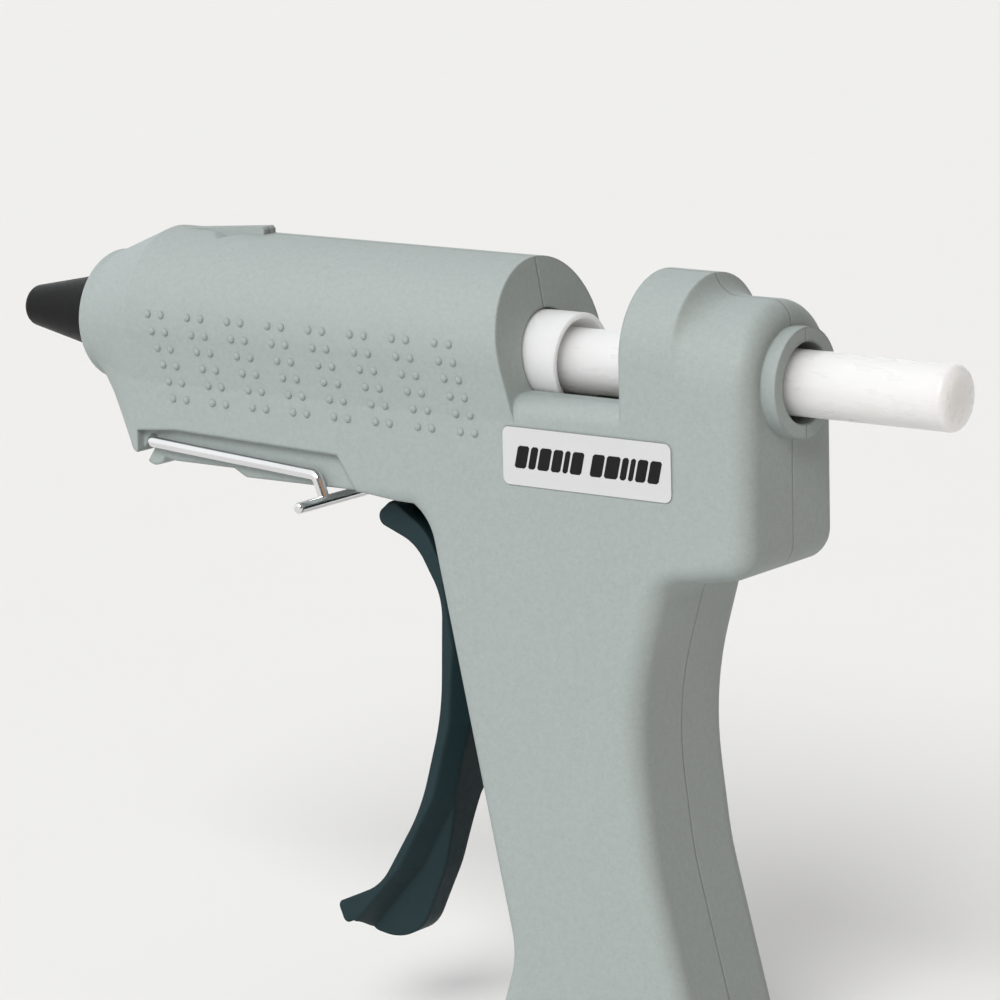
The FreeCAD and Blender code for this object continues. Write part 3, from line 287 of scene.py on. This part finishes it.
# ---- trigger ----
# One dark teal moulding: a hook over the first finger, a broad strap under the others and a thin web
# that sinks into the handle. It turns on a steel pin, and a coil spring on its hub pushes it out.

teal = Finish("dark_teal_moulding", (0.0095, 0.024, 0.028), 0.5)
teal.soft_edges(1.0, (0.030, 0.050, 0.054), 0.4)
teal.tint(teal.clouds(9.0), (0.014, 0.031, 0.036), 0.7)
teal.tint(teal.clouds(0.5, 2.0), (0.020, 0.038, 0.044), 0.35)
teal.dull(teal.clouds(1.2), 0.44, 0.60)
teal.relief(teal.cells(0.35), 0.02, 0.35)
teal.shader.inputs["Specular IOR Level"].default_value = 0.16
cover("trigger", teal)

# ---- leads, terminals and cord entry ----
# Two fibreglass-sleeved leads run from the heater's tabs over the trigger's pivot to a moulded
# terminal block in the handle. A nylon bar on two screws clamps the cord above its rubber bush.


def sleeved(name, colour, fleck):
    """Woven sleeving over a lead."""
    weave = Finish(name, colour, 0.62)
    weave.tint(weave.cells(0.35), fleck, 0.6)
    weave.dull(weave.clouds(0.6), 0.5, 0.72)
    weave.relief(weave.cells(0.3), 0.05, 0.8)
    return weave


cover("live_lead", sleeved("brown_sleeving", (0.17, 0.07, 0.03), (0.30, 0.15, 0.08)))
cover("neutral_lead", sleeved("blue_sleeving", (0.03, 0.10, 0.30), (0.10, 0.20, 0.45)))

block = Finish("terminal_nylon", (0.62, 0.60, 0.55), 0.4)
block.soft_edges(0.3, (0.74, 0.73, 0.70))
block.tint(block.clouds(2.0), (0.52, 0.50, 0.45), 0.5)
block.dull(block.clouds(0.8), 0.32, 0.5)
block.relief(block.clouds(0.3), 0.012, 0.5)
cover("terminal_block", block)

bar = Finish("grey_nylon_bar", (0.11, 0.11, 0.11), 0.5)
bar.soft_edges(0.3, (0.2, 0.2, 0.2))
bar.tint(bar.clouds(1.5), (0.16, 0.16, 0.155), 0.6)
bar.relief(bar.cells(0.3), 0.02, 0.5)
cover("cord_clamp_bar", bar)

bush = Finish("bush_rubber", (0.020, 0.020, 0.021), 0.62)
bush.tint(bush.clouds(1.5), (0.045, 0.045, 0.045), 0.6)
bush.dull(bush.clouds(0.7), 0.5, 0.75)
bush.relief(bush.cells(0.3), 0.03, 0.5)
cover("cord_bush", bush)

# ---- wire stand ----
# Bright nickel-plated spring wire, bent in one piece: an axle that snaps into the chin, two legs that
# fold up beside the keel, and a wide foot. The plating shows faint drawing lines.

plated = Finish("nickel_plated_wire", (0.80, 0.80, 0.81), 0.14, 1.0)
plated.tint(plated.clouds(3.0, 2.0, (0.15, 1, 1)), (0.62, 0.61, 0.60), 0.5)
plated.dull(plated.clouds(0.5, 2.0, (0.1, 1, 1)), 0.08, 0.24)
plated.relief(plated.clouds(0.2, 1.0, (0.05, 1, 1)), 0.004, 0.5)
cover("stand_wire", plated)

# ---- housing halves ----
# Left and right shells of grey-green matt plastic, 2.2 mm thick, screwed together on the middle
# plane. The mould was spark-eroded, so every outside face has a fine even grain, and the two shells
# leave a hair-thin line where they meet. Six rows of small raised pips stand on both flanks.

shell = Finish("grey_green_moulding", (0.298, 0.338, 0.330), 0.6)
shell.soft_edges(0.8, (0.35, 0.385, 0.38), 0.35)
shell.tint(shell.clouds(22.0, 2.0), (0.287, 0.325, 0.315), 0.6)
shell.tint(shell.clouds(0.42, 2.0), (0.252, 0.286, 0.278), 0.55, 0.22)
shell.tint(shell.clouds(0.9, 2.0), (0.342, 0.384, 0.376), 0.4, 0.25)
shell.tint(shell.seam(0.08), (0.13, 0.135, 0.13), 0.4, 0.5)
shell.dull(shell.clouds(1.1), 0.50, 0.68)
shell.relief(shell.clouds(0.30, 3.0), 0.05, 0.45)
shell.relief(shell.cells(0.22), 0.012, 0.5)
for half in ("housing_left", "housing_right"):
    cover(half, shell)


def make_piece(name, points, faces, smooth=True):
    """Object with the given corners and faces, in the scene."""
    mesh = bpy.data.meshes.new(name)
    mesh.from_pydata([tuple(p) for p in points], [], faces)
    mesh.update()
    if smooth:
        mesh.polygons.foreach_set("use_smooth", [True] * len(mesh.polygons))
    piece = bpy.data.objects.new(name, mesh)
    bpy.context.scene.collection.objects.link(piece)
    return piece


PIP_FIRST_X = 41.1 * MM
PIP_FIRST_Z = 3.62 * MM
PIP_PAIR = 3.08 * MM
PIP_GROUP = 9.23 * MM
PIP_ROW = 3.05 * MM
PIP_LEAN = 0.83 * MM
PIP_GROUPS = 8
PIP_ROWS = 6
PIP_RADIUS = 0.72 * MM
PIP_RISE = 0.42 * MM
PIP_SINK = 0.25 * MM
PIP_SIDES = 14
PIP_PROFILE = [(-PIP_SINK, 1.0), (0.06 * MM, 1.0), (0.20 * MM, 0.90), (0.33 * MM, 0.66), (0.40 * MM, 0.34)]
FLANK_START = 0.03       # rays start this far from the middle plane, outside the gun


def flank_at(x, z, side):
    """Point and outward direction of the housing's flank, read from the shell itself."""
    half = cad["housing_left" if side < 0 else "housing_right"]
    hit, point, normal, _ = half.ray_cast(Vector((x, side * FLANK_START, z)), Vector((0, -side, 0)))
    return (point, normal) if hit else (None, None)


def add_pips(side):
    """Little domes standing square on the flank."""
    points, faces = [], []
    for row in range(PIP_ROWS):
        for group in range(PIP_GROUPS):
            for twin in range(2):
                x = PIP_FIRST_X + group * PIP_GROUP + twin * PIP_PAIR + row * PIP_LEAN
                z = PIP_FIRST_Z - row * PIP_ROW
                point, normal = flank_at(x, z, side)
                if point is None:
                    continue
                turn = normal.to_track_quat("Z", "X")
                first = len(points)
                for height, share in PIP_PROFILE:
                    for k in range(PIP_SIDES):
                        angle = 2 * math.pi * k / PIP_SIDES
                        local = Vector((math.cos(angle), math.sin(angle), 0)) * PIP_RADIUS * share
                        local.z = height
                        points.append(point + turn @ local)
                points.append(point + turn @ Vector((0, 0, PIP_RISE)))
                crown = len(points) - 1
                for level in range(len(PIP_PROFILE) - 1):
                    for k in range(PIP_SIDES):
                        low = first + level * PIP_SIDES + k
                        low_next = first + level * PIP_SIDES + (k + 1) % PIP_SIDES
                        faces.append((low, low_next, low_next + PIP_SIDES, low + PIP_SIDES))
                last = first + (len(PIP_PROFILE) - 1) * PIP_SIDES
                for k in range(PIP_SIDES):
                    faces.append((last + k, last + (k + 1) % PIP_SIDES, crown))
                faces.append(tuple(first + k for k in reversed(range(PIP_SIDES))))
    name = "flank_pips_left" if side < 0 else "flank_pips_right"
    pips = make_piece(name, points, faces)
    pips.data.materials.append(shell.material)
    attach(pips, "housing")


for flank in (-1, 1):
    add_pips(flank)

# ---- housing screws ----
# Six zinc-plated cross-head screws, sunk into bores on the right flank, that pull the halves together.
# The small screws of the terminal block and of the cord clamp are plated in the same way.

zinc = Finish("zinc_plate", (0.58, 0.59, 0.62), 0.34, 1.0)
zinc.soft_edges(0.12, (0.75, 0.75, 0.76))
zinc.tint(zinc.clouds(0.8), (0.45, 0.46, 0.42), 0.6)
zinc.dull(zinc.clouds(0.3), 0.26, 0.48)
zinc.relief(zinc.clouds(0.2), 0.012, 0.6)
for screws in ("housing_screws", "terminal_screws", "cord_clamp_screws"):
    cover(screws, zinc)

# ---- label ----
# Pale film label with rounded corners, glued into a shallow recess on the left flank. It carries a
# row of heavy leaning bars in black ink, which stand where a maker would print and spell nothing.

print_film = Finish("label_film", (0.535, 0.54, 0.545), 0.34)
print_film.tint(print_film.clouds(6.0), (0.51, 0.515, 0.52), 0.5)
print_film.dull(print_film.clouds(2.0), 0.28, 0.42)
print_film.relief(print_film.clouds(0.8, 2.0), 0.008, 0.4)
cover("label_plate", print_film)

INK_LEAN = 0.9 * MM
INK_HEIGHT = 3.9 * MM
INK_BASE_Z = -16.7 * MM
INK_START_X = 121.4 * MM
INK_WIDTHS = [2.4, 1.5, 2.4, 2.0, 1.1, 2.4, 0.0, 2.5, 2.8, 1.3, 1.0, 2.1, 2.3]
INK_SPACE = 0.42 * MM
INK_THICK = 0.03 * MM
INK_CLIP = 0.35 * MM
INK_GAP = 0.9            # millimetres, where a width of nought leaves a gap between two groups


def label_face(x, z):
    """Point on the outside of the label, straight in from the left."""
    return cad["label_plate"].ray_cast(Vector((x, -FLANK_START, z)), Vector((0, 1, 0)))[1]


def add_ink():
    """Thin leaning bars of ink with clipped corners, side by side along the label."""
    points, faces = [], []
    x = INK_START_X
    for width_mm in INK_WIDTHS:
        width = (width_mm or INK_GAP) * MM
        clip = min(INK_CLIP, width * 0.3)
        if width_mm > 0:
            corners = [(clip, 0), (width - clip, 0), (width, clip), (width, INK_HEIGHT - clip),
                       (width - clip, INK_HEIGHT), (clip, INK_HEIGHT), (0, INK_HEIGHT - clip), (0, clip)]
            first = len(points)
            for lift in (0.0, -INK_THICK):
                for across, rise in corners:
                    spot = label_face(x + across + INK_LEAN * rise / INK_HEIGHT, INK_BASE_Z + rise)
                    points.append(spot + Vector((0, lift, 0)))
            count = len(corners)
            faces.append(tuple(first + count + k for k in range(count)))
            for k in range(count):
                after = (k + 1) % count
                faces.append((first + k, first + after, first + count + after, first + count + k))
        x += width + INK_SPACE
    return make_piece("label_ink", points, faces, smooth=False)


ink = add_ink()
black_ink = Finish("black_ink", (0.006, 0.006, 0.0065), 0.5)
black_ink.shader.inputs["Specular IOR Level"].default_value = 0.15
black_ink.tint(black_ink.clouds(1.6), (0.012, 0.012, 0.0125), 0.6)
black_ink.dull(black_ink.clouds(0.7), 0.36, 0.50)
black_ink.relief(black_ink.clouds(0.25), 0.004, 0.5)
ink.data.materials.append(black_ink.material)
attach(ink, "housing")

# ---- glue stick ----
# Cloudy hot-melt adhesive, extruded as a round rod of 11.2 mm. It lets some light into itself, has a
# waxy shine and faint lines along its length from the die.

wax = Finish("hot_melt_glue", (0.63, 0.628, 0.626), 0.30)
wax.tint(wax.clouds(6.0, 2.0, (0.3, 1, 1)), (0.61, 0.608, 0.606), 0.4)
wax.dull(wax.clouds(1.5, 2.0, (0.2, 1, 1)), 0.22, 0.38)
wax.relief(wax.clouds(0.8, 2.0, (0.04, 1, 1)), 0.006, 0.3)
wax.shader.inputs["Subsurface Weight"].default_value = 1.0
wax.shader.inputs["Subsurface Radius"].default_value = (0.016, 0.016, 0.015)
wax.shader.inputs["Subsurface Scale"].default_value = 1.0
cover("glue_stick", wax)

# ---- studio ----
# Pale seamless floor under the handle's foot, one very soft main light, a faint warm one from behind,
# air that is brighter ahead of the gun than behind it, and a long lens from the front left.

FLOOR_Z = cad_box[0][2]
REACH = 6
corners = [(-REACH, -REACH, FLOOR_Z), (REACH, -REACH, FLOOR_Z),
           (REACH, REACH, FLOOR_Z), (-REACH, REACH, FLOOR_Z)]
floor = make_piece("studio_floor", corners, [(0, 1, 2, 3)], smooth=False)
paper = Finish("studio_paper", (0.745, 0.736, 0.727), 0.9)
paper.tint(paper.clouds(40.0), (0.735, 0.726, 0.717), 0.5)
floor.data.materials.append(paper.material)


def studio_sun(name, towards, strength, softness, colour):
    """Distant lamp that shines from the given direction, as soft as a large screen."""
    lamp = bpy.data.lights.new(name, "SUN")
    lamp.energy = strength
    lamp.angle = math.radians(softness)
    lamp.color = colour
    holder = bpy.data.objects.new(name, lamp)
    bpy.context.scene.collection.objects.link(holder)
    holder.rotation_euler = Vector(towards).to_track_quat("Z", "Y").to_euler()


studio_sun("key_light", (0.20, -0.74, 0.64), 2.45, 32.0, (1.0, 1.0, 0.99))
studio_sun("warm_bounce", (0.9, -0.25, 0.12), 0.30, 60.0, (1.0, 0.45, 0.15))

world = bpy.data.worlds.new("studio_air")
bpy.context.scene.world = world
world.use_nodes = True
air_nodes = world.node_tree.nodes
bearing = air_nodes.new("ShaderNodeTexCoord")
split = air_nodes.new("ShaderNodeSeparateXYZ")
dome = air_nodes.new("ShaderNodeMapRange")
dome.interpolation_type = "SMOOTHSTEP"
dome.inputs["From Min"].default_value = -0.25
dome.inputs["From Max"].default_value = 0.35
dome.inputs["To Min"].default_value = 1.15
dome.inputs["To Max"].default_value = 0.10
world.node_tree.links.new(bearing.outputs["Generated"], split.inputs[0])
world.node_tree.links.new(split.outputs["X"], dome.inputs["Value"])
world.node_tree.links.new(dome.outputs["Result"], air_nodes["Background"].inputs["Strength"])
air_nodes["Background"].inputs["Color"].default_value = (0.97, 0.99, 1.0, 1.0)

lens = bpy.data.cameras.new("view_lens")
lens.lens = 169.2
lens.sensor_width = 36.0
lens.clip_start = 0.05
camera = bpy.data.objects.new("view", lens)
bpy.context.scene.collection.objects.link(camera)
right = Vector((0.8019, 0.5969, -0.0245)).normalized()
back = Vector((0.5889, -0.7829, 0.2005))
back = (back - right * back.dot(right)).normalized()
upward = back.cross(right)
turned = Matrix((right, upward, back)).transposed().to_4x4()
camera.matrix_world = Matrix.Translation((0.5904, -0.6419, 0.1381)) @ turned
bpy.context.scene.camera = camera
bpy.context.scene.view_settings.view_transform = "Standard"
